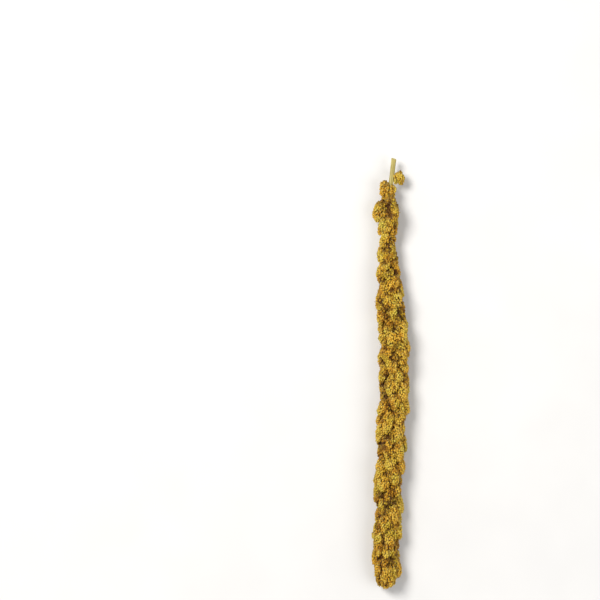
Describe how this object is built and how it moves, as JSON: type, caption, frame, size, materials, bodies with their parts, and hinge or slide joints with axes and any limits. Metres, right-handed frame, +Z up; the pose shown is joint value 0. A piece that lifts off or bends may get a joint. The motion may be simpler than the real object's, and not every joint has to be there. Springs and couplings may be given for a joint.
{
  "type": "foxtail millet head",
  "caption": "Dried head of foxtail millet, cut with a short bare stub, lying on its side. A few loose seed clusters near the stub close up into a long blunt-tipped head of small husked grains.",
  "frame": {"origin": "bottom centre of the bounding box, on the surface that the head lies on", "axes": "+Z up. The head lies along Y, with its cut end at +Y and its tip at -Y. X runs across it."},
  "size_m": [0.0262, 0.2872, 0.0216],
  "materials": {
    "grains": "dry papery husks over small round seeds, satin",
    "stalk": "dry straw, ribbed along its length, matte"
  },
  "bodies": {
    "root": {"dense_head": "grains", "seed_cluster_01": "grains", "seed_cluster_02": "grains", "seed_cluster_03": "grains", "seed_cluster_04": "grains", "seed_cluster_05": "grains", "seed_cluster_06": "grains", "seed_cluster_07": "grains", "seed_cluster_08": "grains", "stalk": "stalk"}
  },
  "joints": []
}
